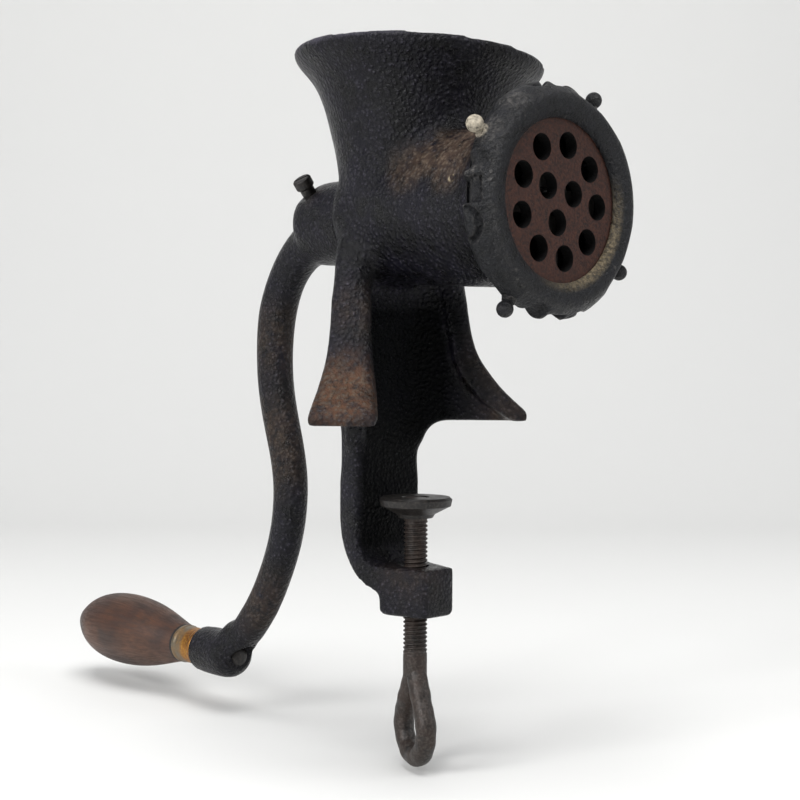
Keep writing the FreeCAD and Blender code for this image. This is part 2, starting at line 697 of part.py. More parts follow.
def handle_spindle():
    """Plain pin, riveted over in the boss and headed inside the end of the grip."""
    rivet = turned_along_y([
        (crank_boss_front_y, 0), (crank_boss_front_y, spindle_rivet_radius),
        (crank_boss_front_y - spindle_rivet_height * 0.6, spindle_rivet_radius * 0.8),
        (crank_boss_front_y - spindle_rivet_height, spindle_rivet_radius * 0.35),
        (crank_boss_front_y - spindle_rivet_height, 0),
    ], handle_axis)
    head_y = grip_end_y - spindle_head_thickness - 0.6
    pin = rod_y(spindle_radius, crank_boss_front_y - 0.1, head_y + 0.1, handle_axis)
    head = rod_y(spindle_head_radius, head_y, head_y + spindle_head_thickness, handle_axis)
    return pin.fuse([rivet, head])


def spindle_washer():
    head_y = grip_end_y - spindle_head_thickness - 0.6
    rear = head_y - seat_gap
    disc = rod_y(spindle_washer_radius, rear - spindle_washer_thickness, rear, handle_axis)
    return disc.cut(rod_y(spindle_radius + seat_gap, head_y - 5, head_y + 5, handle_axis))


def handle_ferrule():
    radius, wall = ferrule_radius, ferrule_wall
    start, end = ferrule_start_y, ferrule_start_y + ferrule_length
    return turned_along_y([
        (start, radius - wall), (start, radius - 0.5), (start + 1.0, radius), (start + 2.2, radius),
        (start + 3.0, radius - 0.3), (end - 2.2, radius - 0.1), (end - 1.2, radius + 0.2), (end, radius + 0.1),
        (end, radius - wall),
    ], handle_axis)


def handle_grip():
    """Turned wooden grip with a tenon in the ferrule and a counterbore for the spindle's head."""
    points = [handle_axis + V(0, grip_start_y + along, radius) for along, radius in grip_curve]
    tenon = ferrule_radius - ferrule_wall - seat_gap
    tenon_y = ferrule_start_y + face_gap
    at = lambda y, radius: handle_axis + V(0, y, radius)
    edges = [
        Part.makeLine(at(tenon_y, 0), at(tenon_y, tenon)),
        Part.makeLine(at(tenon_y, tenon), at(grip_start_y + seat_gap, tenon)),
        Part.makeLine(at(grip_start_y + seat_gap, tenon), at(grip_start_y + seat_gap, grip_curve[0][1])),
        spline([at(grip_start_y + seat_gap, grip_curve[0][1])] + points[1:]),
        Part.makeLine(points[-1], at(grip_end_y, 0)),
        Part.makeLine(at(grip_end_y, 0), at(tenon_y, 0)),
    ]
    grip = face_of(edges).revolve(handle_axis, V(0, 1, 0), 360)
    head_y = grip_end_y - spindle_head_thickness - 0.6
    recess_y = head_y - seat_gap - spindle_washer_thickness - face_gap
    bore = rod_y(spindle_radius + running_gap, tenon_y - 1, grip_end_y + 1, handle_axis)
    recess = rod_y(grip_end_recess_radius, recess_y, grip_end_y + 1, handle_axis)
    return grip.cut([bore, recess])


def clamp_screw():
    """Screw with a forged loop for turning it and a spigot that holds the pad."""
    rod = rod_z(screw_radius, screw_thread_end_z, screw_top_z)
    spigot = rod_z(spigot_radius, screw_top_z - 0.5, pad_top_z - spigot_head_depth)
    peened = Part.makeCone(spigot_radius, spigot_head_radius, spigot_head_depth - 0.3,
                           V(0, 0, pad_top_z - spigot_head_depth))
    rise = loop_apex_z - loop_bend_z
    spread = math.asin(loop_bend_radius / rise)
    shank = rod_z(screw_radius, loop_apex_z, screw_thread_end_z + 0.1)
    apex = Part.makeSphere(screw_radius, V(0, 0, loop_apex_z))
    pieces = [spigot, peened, shank, apex]
    for side in (1, -1):
        touch = V(side * loop_bend_radius * math.cos(spread), 0,
                  loop_bend_z + loop_bend_radius * math.sin(spread))
        limb = touch.sub(V(0, 0, loop_apex_z))
        pieces.append(Part.makeCylinder(loop_rod_radius, limb.Length, V(0, 0, loop_apex_z), limb))
    start = V(loop_bend_radius * math.cos(spread), 0, loop_bend_z + loop_bend_radius * math.sin(spread))
    away = V(-math.sin(spread), 0, math.cos(spread))
    disc = Part.Face(Part.Wire(Part.Circle(start, away, loop_rod_radius).toShape()))
    sweep_deg = 180 + 2 * math.degrees(spread)
    pieces.append(disc.revolve(V(0, 0, loop_bend_z), V(0, 1, 0), sweep_deg))
    screw = rod.fuse(pieces)
    screw.rotate(V(0, 0, 0), V(0, 0, 1), loop_turn_deg)
    return screw


def clamp_pad():
    low_z = screw_top_z + face_gap
    pad = turned_along_z([
        (0, pad_top_z), (pad_radius - 0.8, pad_top_z), (pad_radius, pad_top_z - 0.8),
        (pad_radius - 0.4, pad_top_z - pad_rim), (pad_neck_radius, low_z + 1.2),
        (pad_neck_radius - 0.8, low_z), (0, low_z),
    ])
    bore = rod_z(spigot_radius + running_gap, low_z - 1, pad_top_z + 1)
    countersink = Part.makeCone(spigot_radius + open_gap, spigot_head_radius + open_gap + 0.2,
                                spigot_head_depth + 0.2, V(0, 0, pad_top_z - spigot_head_depth - 0.2))
    return pad.cut([bore, countersink])


os.makedirs("parts", exist_ok=True)
export(body_casting(), "body_casting")
export(plate_key_pin(), "plate_key_pin")
export(grinder_plate(), "grinder_plate")
export(ring_nut(), "ring_nut")
export(thrust_washer(), "thrust_washer")
export(feed_worm(), "feed_worm")
export(knife_stud(), "knife_stud")
export(cutter_knife(), "cutter_knife")
export(crank_arm(), "crank_arm")
export(crank_set_screw(), "crank_set_screw")
export(handle_spindle(), "handle_spindle")
export(spindle_washer(), "spindle_washer")
export(handle_ferrule(), "handle_ferrule")
export(handle_grip(), "handle_grip")
export(clamp_screw(), "clamp_screw")
export(clamp_pad(), "clamp_pad")
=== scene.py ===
import bmesh
import bpy
import numpy as np
from mathutils import Matrix


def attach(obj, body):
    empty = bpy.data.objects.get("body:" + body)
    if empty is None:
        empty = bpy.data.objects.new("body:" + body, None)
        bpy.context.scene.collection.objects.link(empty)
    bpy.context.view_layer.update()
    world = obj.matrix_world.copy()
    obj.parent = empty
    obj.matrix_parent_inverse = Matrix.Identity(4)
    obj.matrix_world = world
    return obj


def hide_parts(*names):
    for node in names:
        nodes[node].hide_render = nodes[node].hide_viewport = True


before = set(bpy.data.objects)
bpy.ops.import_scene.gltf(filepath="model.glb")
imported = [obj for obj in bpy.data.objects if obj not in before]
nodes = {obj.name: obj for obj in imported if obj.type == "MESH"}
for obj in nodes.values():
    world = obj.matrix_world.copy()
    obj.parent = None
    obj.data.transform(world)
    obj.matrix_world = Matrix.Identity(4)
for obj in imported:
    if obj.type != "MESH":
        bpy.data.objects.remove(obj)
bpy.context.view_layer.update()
mm = 0.001
barrelZ = 67.6  # height of the barrel's axis
nearPole = 0.499 * np.pi  # a ball's last row stops just short of its pole
print("frame loaded:", len(nodes), "nodes")


# sRGB hex to linear: each channel is undone by the sRGB curve
def hexColour(text):
    srgb = np.array([int(text[i:i + 2], 16) for i in (1, 3, 5)]) / 255
    linear = np.where(srgb <= 0.04045, srgb / 12.92, ((srgb + 0.055) / 1.055) ** 2.4)
    return (*linear.tolist(), 1.0)


# an input is linked when it is given a socket, turned from hex when given text, and set otherwise
def feed(tree, socket, value):
    if isinstance(value, bpy.types.NodeSocket):
        tree.links.new(value, socket)
    else:
        socket.default_value = hexColour(value) if isinstance(value, str) else value


# adds one node, sets its properties, then feeds its inputs by name or number
def addNode(tree, kind, inputs=None, settings=None):
    node = tree.nodes.new(kind)
    for key, value in (settings or {}).items():
        setattr(node, key, value)
    for key, value in (inputs or {}).items():
        feed(tree, node.inputs[key], value)
    return node


# a material with its node tree, its shader and the point in the piece's own coordinates
def newMaterial(name):
    material = bpy.data.materials.new(name)
    material.use_nodes = True
    tree = material.node_tree
    shader = tree.nodes["Principled BSDF"]
    place = addNode(tree, "ShaderNodeTexCoord").outputs["Object"]
    return material, tree, shader, place


# ramp: a value's low..high becomes toLow..toHigh, held at both ends
def remap(tree, value, low, high, toLow=0.0, toHigh=1.0, style="LINEAR"):
    inputs = {"Value": value, "From Min": low, "From Max": high, "To Min": toLow, "To Max": toHigh}
    return addNode(tree, "ShaderNodeMapRange", inputs, {"interpolation_type": style}).outputs["Result"]


# noise with a feature size in millimetres, spread over 0..1 between low and high
def speckle(tree, place, sizeMm, low, high, detail=4.0, rough=0.55, warp=0.0):
    noise = addNode(tree, "ShaderNodeTexNoise", {
        "Vector": place, "Scale": 1 / (sizeMm * mm), "Detail": detail, "Roughness": rough, "Distortion": warp,
    })
    return remap(tree, noise.outputs["Fac"], low, high)


# soft round patch: 1 inside the inner radius, 0 outside the outer one, measured from a point in mm
def patch(tree, place, centre, inner, outer):
    point = [value * mm for value in centre]
    away = addNode(tree, "ShaderNodeVectorMath", {0: place, 1: point}, {"operation": "DISTANCE"})
    return remap(tree, away.outputs["Value"], inner * mm, outer * mm, 1.0, 0.0, "SMOOTHSTEP")


# one operation on two values, held to 0..1 when clamped
def maths(tree, operation, first, second=0.0, clamp=False):
    settings = {"operation": operation, "use_clamp": clamp}
    return addNode(tree, "ShaderNodeMath", {0: first, 1: second}, settings).outputs[0]


# product of two values
def times(tree, first, second, clamp=False):
    return maths(tree, "MULTIPLY", first, second, clamp)


# a value raised to a power: above 1 it keeps to the peaks, below 1 it spreads
def power(tree, value, exponent):
    return maths(tree, "POWER", value, exponent)


# a value scaled by the first number and lifted by the second
def lifted(tree, value, scale, lift):
    return maths(tree, "ADD", times(tree, value, scale), lift)


# first colour going over to the second as the factor goes from 0 to 1
def mixed(tree, factor, colourA, colourB):
    node = addNode(tree, "ShaderNodeMix", {0: factor}, {"data_type": "RGBA"})
    for index, colour in ((6, colourA), (7, colourB)):
        feed(tree, node.inputs[index], colour)
    return node.outputs[2]


# x, y and z of a vector
def split(tree, vector):
    return addNode(tree, "ShaderNodeSeparateXYZ", {"Vector": vector}).outputs


# how far the surface faces along Y, in the piece's own coordinates
def facingY(tree):
    return split(tree, addNode(tree, "ShaderNodeTexCoord").outputs["Normal"])["Y"]


# feeds the shader by name and raises its surface by a height
def finishShader(tree, shader, look, height, inputs):
    bump = addNode(tree, "ShaderNodeBump", {
        "Height": height, "Strength": look["bumpStrength"], "Distance": look["bumpMm"] * mm,
    })
    feed(tree, shader.inputs["Normal"], bump.outputs["Normal"])
    for key, value in inputs.items():
        feed(tree, shader.inputs[key], value)


# in every look below a noise is its size in mm, where it starts and fills, then detail, roughness and warp

# black stoving paint on sand-cast iron: pebbly skin, dull gloss, brown where it has worn and rusted, and near
# black where a painted shade lies on the strap's front between the legs
paint = {
    # the pale grey third colour here serves worn paint on the rim and pebble tops, and painted glints on
    # those tops
    "black": "#050507", "sheen": "#0e0d17", "chalkAndGlint": "#5a5763", "rust": "#3a2d25", "ochre": "#5b4e41",
    # the near-black last colour on the next line is a painted shade for the strap's front between the legs
    "orange": "#563a28", "cream": "#b9a98a", "paintedShade": "#020303",
    "grainMm": 1.35, "grainSoft": 0.6, "grainRange": (0.62, 0.12),
    "fine": (0.5, 0.35, 0.7, 2.0), "mottle": (9.0, 0.38, 0.72, 5.0), "ragged": (3.6, 0.36, 0.58, 8.0, 0.75),
    "bumpMm": 0.6, "bumpStrength": 0.85, "bumpShares": (0.7, 0.3),  # shares of grain and fine
    "rough": (0.24, 0.42), "rustRough": 0.3, "ior": 1.28, "specular": 0.5,
    "wear": (3.0, 1.5), "chalkAndGlintOnMottle": (0.8, 0.3),
    "rimZ": 120.2, "rimMm": 1.6, "rimSpread": 0.6, "rimShare": 0.55,
    "rustSpots": [  # centre, inner and outer radius in mm, strength
        ((-18, -30, 85), 6, 14, 0.95), ((-21, -18, 80), 3, 12, 0.8), ((-12, -37, 89), 5, 13, 0.9),
        ((-22, -38, 79), 4, 12, 0.8), ((-4, -40, 92), 3, 14, 0.6), ((-6, -4, -47), 4, 16, 0.25),
        ((38, -8, 3), 2, 18, 0.7), ((33, -4, 22), 3, 18, 0.55), ((-24, 2, 36), 2, 14, 0.3),
    ],
    "orangeSpots": [((-35, -4, 7), 6, 18, 0.85), ((-31, -1, 17), 3, 12, 0.4)],
    "chips": [((-24, -40, 74), 0.7, 1.6), ((-19, -24, 84), 0.3, 1.0), ((41, -11, 2), 0.6, 2.2)],
    "chipGain": 1.6,
    # the painted shade: how far faces turn to -Y, its share of the colour and the shine it takes away
    "paintedShadeFacing": (-0.25, -0.7), "paintedShadeShare": 0.85, "paintedShadeDull": 0.38,
    "paintedShadeEdges": [("Z", -46, -40), ("X", -14, -11), ("Z", 44, 36), ("X", 27, 18)],  # axis, none at, full at
}

# the same paint on the crank: rust along the arm and at the hub, no painted shade and no chips
crankPaint = dict(paint, orangeSpots=[], chips=[], paintedShadeShare=0.0, paintedShadeDull=0.0, rustSpots=[
    ((6, 76, 28), 4, 24, 0.6), ((-6, 70, -10), 4, 26, 0.55), ((0, 80, -68), 4, 22, 0.5),
    ((-6, 40, 74), 2, 9, 0.4),
])


# pebbles and fine grain lift the paint; pale specks show on their tops as wear and painted glints, and on the
# rim, under rust, a painted shade and chips
def paintedIron(name, look):
    material, tree, shader, place = newMaterial(name)
    pebble = addNode(tree, "ShaderNodeTexVoronoi", {
        "Vector": place, "Scale": 1 / (look["grainMm"] * mm), "Smoothness": look["grainSoft"],
        "Randomness": 1.0,
    }, {"feature": "SMOOTH_F1"})
    grain = remap(tree, pebble.outputs["Distance"], *look["grainRange"])
    fine = speckle(tree, place, *look["fine"])
    mottle = speckle(tree, place, *look["mottle"])
    colour = mixed(tree, mottle, look["black"], look["sheen"])
    grainWear, fineWear = look["wear"]
    worn = times(tree, power(tree, grain, grainWear), power(tree, fine, fineWear))
    # pale specks on the pebble tops: partly paint worn to grey, partly painted glints
    chalkAndGlint = times(tree, worn, lifted(tree, mottle, *look["chalkAndGlintOnMottle"]), clamp=True)
    axes = split(tree, place)
    rim = remap(tree, axes["Z"], (look["rimZ"] - look["rimMm"]) * mm, look["rimZ"] * mm)
    rim = times(tree, rim, times(tree, power(tree, mottle, look["rimSpread"]), look["rimShare"]))
    colour = mixed(tree, maths(tree, "MAXIMUM", chalkAndGlint, rim), colour, look["chalkAndGlint"])
    ragged = speckle(tree, place, *look["ragged"])
    rusted = 0.0
    for key, tint in (("rustSpots", "rust"), ("orangeSpots", "orange")):
        inside = mixed(tree, grain, look[tint], look["ochre"])
        for centre, inner, outer, strength in look[key]:
            mask = times(tree, patch(tree, place, centre, inner, outer), ragged)
            mask = times(tree, mask, strength, clamp=True)
            colour = mixed(tree, mask, colour, inside)
            rusted = maths(tree, "MAXIMUM", rusted, mask)
    # painted shade: faces turned to -Y inside the box of the strap between the legs go near black and duller
    paintedShade = remap(tree, facingY(tree), *look["paintedShadeFacing"])
    for axis, start, full in look["paintedShadeEdges"]:
        paintedShade = times(tree, paintedShade, remap(tree, axes[axis], start * mm, full * mm))
    colour = mixed(tree, times(tree, paintedShade, look["paintedShadeShare"]), colour, look["paintedShade"])
    for spot in look["chips"]:
        chip = times(tree, patch(tree, place, *spot), grain)
        colour = mixed(tree, times(tree, chip, look["chipGain"], clamp=True), colour, look["cream"])
    rough = remap(tree, mottle, 0.0, 1.0, *look["rough"])
    grainShare, fineShare = look["bumpShares"]
    height = maths(tree, "ADD", times(tree, grain, grainShare), times(tree, fine, fineShare))
    shadeDulled = times(tree, paintedShade, look["paintedShadeDull"])
    finishShader(tree, shader, look, height, {
        "Base Color": colour, "IOR": look["ior"],
        "Roughness": maths(tree, "ADD", rough, times(tree, rusted, look["rustRough"]), clamp=True),
        "Specular IOR Level": maths(tree, "SUBTRACT", look["specular"], shadeDulled),
    })
    return material


# cast ring, paint rubbed through to grey iron along its crest and grip edges, dried fat low in its bevel
ring = {
    "dark": "#060709", "mid": "#14151a", "bright": "#5e5b58", "beige": "#7d7058", "cream": "#c9beaa",
    "grain": (1.2, 0.32, 0.7, 4.0), "mottle": (4.0, 0.35, 0.68, 6.0, 0.65),
    "crumbs": (1.1, 0.42, 0.60, 6.0, 0.75), "crumbShares": (0.75, 0.2),
    "bumpMm": 0.6, "bumpStrength": 0.85, "rough": (0.27, 0.5), "ior": 1.34,
    "crestMm": 31.6, "crestWidth": 2.4, "crestShare": 0.18, "edge": (0.52, 0.58), "edgeShare": 0.85,
    "ridges": [((-29, -60, 86), 1, 7), ((-20, -61, 96), 1, 7), ((-34, -58, 74), 1, 5)], "ridgeShare": 0.75,
    "wear": 1.6, "knob": ((-32.6, -57.7, 87.2), 3.4, 4.6), "knobWear": 0.6,
    "bevel": (27.4, 25.6), "low": (10, -12), "right": (-12, 12),  # the fat in mm: none at, full at
}


# rubbed is the most of crest, sharp edges and ridges, broken by grain; fat is crumbs x bevel x low x right
def ringIron(name, look):
    material, tree, shader, place = newMaterial(name)
    grain = speckle(tree, place, *look["grain"])
    mottle = speckle(tree, place, *look["mottle"])
    axes = split(tree, place)
    up = maths(tree, "SUBTRACT", axes["Z"], barrelZ * mm)
    radius = maths(tree, "SQRT", maths(tree, "ADD", power(tree, axes["X"], 2.0), power(tree, up, 2.0)))
    colour = mixed(tree, mottle, look["dark"], look["mid"])
    offCrest = maths(tree, "ABSOLUTE", maths(tree, "SUBTRACT", radius, look["crestMm"] * mm))
    crest = remap(tree, offCrest, 0.0, look["crestWidth"] * mm, 1.0, 0.0)
    edge = remap(tree, addNode(tree, "ShaderNodeNewGeometry").outputs["Pointiness"], *look["edge"])
    rubbed = times(tree, crest, look["crestShare"])
    rubbed = maths(tree, "MAXIMUM", rubbed, times(tree, edge, look["edgeShare"]))
    for spot in look["ridges"]:
        ridge = times(tree, patch(tree, place, *spot), look["ridgeShare"])
        rubbed = maths(tree, "MAXIMUM", rubbed, ridge)
    worn = times(tree, rubbed, power(tree, grain, look["wear"]), clamp=True)
    colour = mixed(tree, worn, colour, look["bright"])
    knobPaint = times(tree, patch(tree, place, *look["knob"]), power(tree, grain, look["knobWear"]))
    colour = mixed(tree, knobPaint, colour, look["cream"])
    fat = lifted(tree, speckle(tree, place, *look["crumbs"]), *look["crumbShares"])
    for value, key in ((radius, "bevel"), (up, "low"), (axes["X"], "right")):
        start, full = look[key]
        fat = times(tree, fat, remap(tree, value, start * mm, full * mm))
    colour = mixed(tree, fat, colour, look["beige"])
    finishShader(tree, shader, look, maths(tree, "ADD", grain, mottle), {
        "Base Color": colour, "Roughness": remap(tree, mottle, 0.0, 1.0, *look["rough"]), "IOR": look["ior"],
    })
    return material


# ground steel under a thin red-brown rust film, near black on the surfaces along Y such as the walls of its
# holes
plate = {
    "film": "#2e1813", "dark": "#170c0a", "pale": "#4a2a1d", "paleShare": 0.75, "darkAlongY": "#060505",
    "grain": (0.8, 0.35, 0.7, 4.0), "mottle": (4.0, 0.36, 0.66, 6.0, 0.7),
    "wall": (0.7, 0.3), "bumpMm": 0.16, "bumpStrength": 0.6, "rough": 0.68, "ior": 1.35,
}


# film on dark by mottle, pale by grain, near black where the surface turns away from Y
def rustFilm(name, look):
    material, tree, shader, place = newMaterial(name)
    grain = speckle(tree, place, *look["grain"])
    colour = mixed(tree, speckle(tree, place, *look["mottle"]), look["dark"], look["film"])
    colour = mixed(tree, times(tree, grain, look["paleShare"]), colour, look["pale"])
    wall = remap(tree, maths(tree, "ABSOLUTE", facingY(tree)), *look["wall"])
    colour = mixed(tree, wall, colour, look["darkAlongY"])
    finishShader(tree, shader, look, grain, {
        "Base Color": colour, "Roughness": look["rough"], "IOR": look["ior"],
    })
    return material


# what the plain metals share: noises without their sizes, the grain's power and the third tone's share of it
metal = {
    "grain": (0.34, 0.7, 3.0), "mottle": (0.36, 0.66, 6.0, 0.65), "wear": 2.0, "thirdShare": 0.55,
    "bumpStrength": 0.6,
}
screwSteel = {  # forged screw steel: dull grey under a brown bloom
    **metal, "first": "#1c1a19", "second": "#33261f", "third": "#57504a", "metallic": 0.35,
    "rough": (0.38, 0.6), "mottleMm": 6.0, "grainMm": 0.8, "bumpMm": 0.10,
}
padSteel = {  # oil-blackened steel: nearly black with worn grey points
    **metal, "first": "#0d0c0c", "second": "#181514", "third": "#4a4540", "metallic": 0.3,
    "rough": (0.36, 0.56), "mottleMm": 5.0, "grainMm": 0.8, "bumpMm": 0.08,
}
# this steel's colours are darkened as painted shade for the parts inside the barrel
bareSteelShadeDark = {  # turned steel: darkened, with a soft shine
    **metal, "first": "#171615", "second": "#23211f", "third": "#3a3733", "metallic": 0.6,
    "rough": (0.3, 0.5), "mottleMm": 5.0, "grainMm": 0.5, "bumpMm": 0.03,
}
# this iron's colours are darkened as painted shade for the worm inside the barrel
castIronShadeDark = {  # raw cast iron: dark and matt
    **metal, "first": "#131211", "second": "#1d1a18", "third": "#2f2b27", "metallic": 0.6,
    "rough": (0.45, 0.65), "mottleMm": 6.0, "grainMm": 1.0, "bumpMm": 0.12,
}
brass = {  # spun brass: tarnished gold, going grey in a band along Y
    **metal, "first": "#7a4d24", "second": "#9a6a2c", "third": "#cf9c46", "metallic": 0.75,
    "rough": (0.34, 0.55), "mottleMm": 5.0, "grainMm": 0.9, "bumpMm": 0.04,
    "band": ("#6b675a", 125.5, 127.5), "bandOnMottle": (-0.4, 0.95),
}


# first to second by mottle, third by the grain's peaks, and a band along Y where the look has one
def agedMetal(name, look):
    material, tree, shader, place = newMaterial(name)
    grain = speckle(tree, place, look["grainMm"], *look["grain"])
    mottle = speckle(tree, place, look["mottleMm"], *look["mottle"])
    colour = mixed(tree, mottle, look["first"], look["second"])
    peaks = times(tree, power(tree, grain, look["wear"]), look["thirdShare"])
    colour = mixed(tree, peaks, colour, look["third"])
    if "band" in look:
        tone, start, full = look["band"]
        band = remap(tree, split(tree, place)["Y"], start * mm, full * mm)
        band = times(tree, band, lifted(tree, mottle, *look["bandOnMottle"]))
        colour = mixed(tree, band, colour, tone)
    rough = remap(tree, mottle, 0.0, 1.0, *look["rough"])
    finishShader(tree, shader, look, grain, {
        "Base Color": colour, "Roughness": rough, "Metallic": look["metallic"],
    })
    return material


# turned hardwood under dark stain: pores and rings run along the grip, rubbed redder in places
wood = {
    # the last colour here is a painted shadow line where the grip's end meets the ferrule
    "dark": "#261710", "mid": "#42281c", "red": "#613c23", "paintedShadowLine": "#080504",
    "pores": (0.9, 0.36, 0.66, 5.0, 0.6), "rings": (4.0, 0.35, 0.65, 3.0, 0.55, 0.6),
    "mottle": (16.0, 0.42, 0.66, 4.0), "alongTimes": 0.06, "redShare": 0.6, "poreShare": 0.55,
    "rough": (0.42, 0.62), "bumpMm": 0.10, "bumpStrength": 0.5,
    "endY": 132.4, "paintedShadowLineFrom": (1.3, 0.9),  # past the end: none at, full at
}


# noise stretched along Y gives rings and pores; a painted shadow line darkens the grip's end by the ferrule
def stainedWood(name, look):
    material, tree, shader, place = newMaterial(name)
    mapping = {"Vector": place, "Scale": (1.0, look["alongTimes"], 1.0)}
    stretched = addNode(tree, "ShaderNodeMapping", mapping).outputs["Vector"]
    pores = speckle(tree, stretched, *look["pores"])
    rings = speckle(tree, stretched, *look["rings"])
    mottle = speckle(tree, place, *look["mottle"])
    colour = mixed(tree, rings, look["dark"], look["mid"])
    colour = mixed(tree, times(tree, mottle, look["redShare"]), colour, look["red"])
    colour = mixed(tree, times(tree, pores, look["poreShare"]), colour, look["dark"])
    # painted shadow line: near black from the grip's end up to about a millimetre along it
    start, full = look["paintedShadowLineFrom"]
    paintedShadowLine = remap(tree, split(tree, place)["Y"], (look["endY"] + start) * mm, (look["endY"] + full) * mm)
    colour = mixed(tree, paintedShadowLine, colour, look["paintedShadowLine"])
    rough = remap(tree, pores, 0.0, 1.0, *look["rough"])
    finishShader(tree, shader, look, pores, {"Base Color": colour, "Roughness": rough})
    return material


finishes = {
    "blackPaintOnCastIron": paintedIron("blackPaintOnCastIron", paint),
    "blackPaintOnCrank": paintedIron("blackPaintOnCrank", crankPaint),
    "rubbedRingIron": ringIron("rubbedRingIron", ring),
    "rustFilmOnSteel": rustFilm("rustFilmOnSteel", plate),
    "agedScrewSteel": agedMetal("agedScrewSteel", screwSteel),
    "blackenedPadSteel": agedMetal("blackenedPadSteel", padSteel),
    "turnedSteelShadeDark": agedMetal("turnedSteelShadeDark", bareSteelShadeDark),
    "rawCastIronShadeDark": agedMetal("rawCastIronShadeDark", castIronShadeDark),
    "tarnishedBrass": agedMetal("tarnishedBrass", brass),
    "stainedTurnedWood": stainedWood("stainedTurnedWood", wood),
}
dress = {
    "body_casting": "blackPaintOnCastIron", "crank_arm": "blackPaintOnCrank", "ring_nut": "rubbedRingIron",
    "grinder_plate": "rustFilmOnSteel", "clamp_screw": "agedScrewSteel", "clamp_pad": "blackenedPadSteel",
    "crank_set_screw": "blackenedPadSteel", "plate_key_pin": "turnedSteelShadeDark", "thrust_washer": "turnedSteelShadeDark",
    "feed_worm": "rawCastIronShadeDark", "knife_stud": "turnedSteelShadeDark", "cutter_knife": "turnedSteelShadeDark",
    "handle_spindle": "agedScrewSteel", "spindle_washer": "turnedSteelShadeDark", "handle_ferrule": "tarnishedBrass",
    "handle_grip": "stainedTurnedWood",
}
for nodeName, finish in dress.items():
    mesh = nodes[nodeName].data
    mesh.materials.clear()
    mesh.materials.append(finishes[finish])
print("materials set on", len(dress), "nodes")


# mesh from a grid of points (rows, columns, 3): quads between neighbours, wrapped across a closed direction,
# and turned over when the volume inside them comes out negative
def gridPiece(name, points, finish, wrap=True, caps=True, torus=False):
    rows, columns = points.shape[:2]
    index = np.arange(rows * columns).reshape(rows, columns)
    loop = np.vstack([index, index[:1]]) if torus else index
    loop = np.hstack([loop, loop[:, :1]]) if wrap else loop
    quads = np.stack([loop[:-1, :-1], loop[:-1, 1:], loop[1:, 1:], loop[1:, :-1]], axis=-1).reshape(-1, 4)
    spots = points.reshape(-1, 3) - points.reshape(-1, 3).mean(axis=0)
    first, second, third, fourth = spots[quads].transpose(1, 0, 2)
    inward = wrap and np.sum(np.cross(third - first, fourth - second) * first) < 0
    faces = quads.tolist()
    if caps and not torus:
        faces += [index[0][::-1].tolist(), index[-1].tolist()]
    mesh = bpy.data.meshes.new(name)
    mesh.from_pydata((points.reshape(-1, 3) * mm).tolist(), [], faces)
    mesh.polygons.foreach_set("use_smooth", np.ones(len(faces), dtype=bool))
    if inward:
        mesh.flip_normals()
    mesh.materials.append(finishes[finish])
    mesh.update()
    piece = bpy.data.objects.new(name, mesh)
    bpy.context.collection.objects.link(piece)
    return piece


# circles: a column of radii carried round, as the two offsets across the axis
def circles(radius, count):
    angle = np.linspace(0, 2 * np.pi, count, endpoint=False)
    return radius * np.cos(angle), radius * np.sin(angle)


# ellipsoid: a unit ball scaled by three radii and tilted about X in degrees
def ellipsoid(centre, radii, tilt, finish):
    up = np.linspace(-nearPole, nearPole, 24)[:, None]
    ball = np.stack(np.broadcast_arrays(*circles(np.cos(up), 40), np.sin(up)), axis=-1)
    turn = np.radians(tilt)
    spin = np.array([[1, 0, 0], [0, np.cos(turn), np.sin(turn)], [0, -np.sin(turn), np.cos(turn)]])
    return gridPiece("lump", ball * np.array(radii) @ spin + np.array(centre), finish)


# a cast piece's skin: its solid and any lumps on an even grid, then each point drawn to its neighbours' mean
def castSkin(nodeName, newName, part, finish):
    merged = bmesh.new()
    merged.from_mesh(nodes[nodeName].data)
    bmesh.ops.remove_doubles(merged, verts=merged.verts, dist=part["mergeMm"] * mm)
    for centre, radii, tilt in part["fills"]:
        lump = ellipsoid(centre, radii, tilt, finish)
        merged.from_mesh(lump.data)
        bpy.data.objects.remove(lump)
    mesh = bpy.data.meshes.new(newName)
    merged.to_mesh(mesh)
    merged.free()
    rough = bpy.data.objects.new(newName, mesh)
    bpy.context.collection.objects.link(rough)
    grid = rough.modifiers.new("evenGrid", "REMESH")
    grid.mode = "VOXEL"
    grid.voxel_size = part["gridMm"] * mm
    skin = bpy.data.meshes.new_from_object(rough.evaluated_get(bpy.context.evaluated_depsgraph_get()))
    bpy.data.objects.remove(rough)
    count = len(skin.vertices)
    flat = np.empty(count * 3)
    skin.vertices.foreach_get("co", flat)
    points = flat.reshape(-1, 3) / mm
    ends = np.empty(len(skin.edges) * 2, dtype=np.int64)
    skin.edges.foreach_get("vertices", ends)
    ends = ends.reshape(-1, 2)
    fromEnd, toEnd = np.concatenate([ends, ends[:, ::-1]]).T
    neighbours = np.bincount(fromEnd, minlength=count)[:, None]
    free = 1 - part["held"](points, part)[:, None]
    everywhere, blended = np.ones((count, 1)), part["blend"](points, part)[:, None]
    for rounds, share in ((part["relax"], everywhere), (part["blendRounds"], blended)):
        for _ in range(rounds):
            total = np.stack([np.bincount(fromEnd, points[toEnd, axis], count) for axis in range(3)], axis=-1)
            points = points + part["pull"] * share * free * (total / neighbours - points)
    if part["press"]:
        points = part["press"](points, part)
    skin.vertices.foreach_set("co", (points * mm).ravel())
    skin.polygons.foreach_set("use_smooth", np.ones(len(skin.polygons), dtype=bool))
    skin.materials.clear()
    skin.materials.append(finishes[finish])
    skin.update()
    piece = bpy.data.objects.new(newName, skin)
    bpy.context.collection.objects.link(piece)
    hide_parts(nodeName)
    return piece


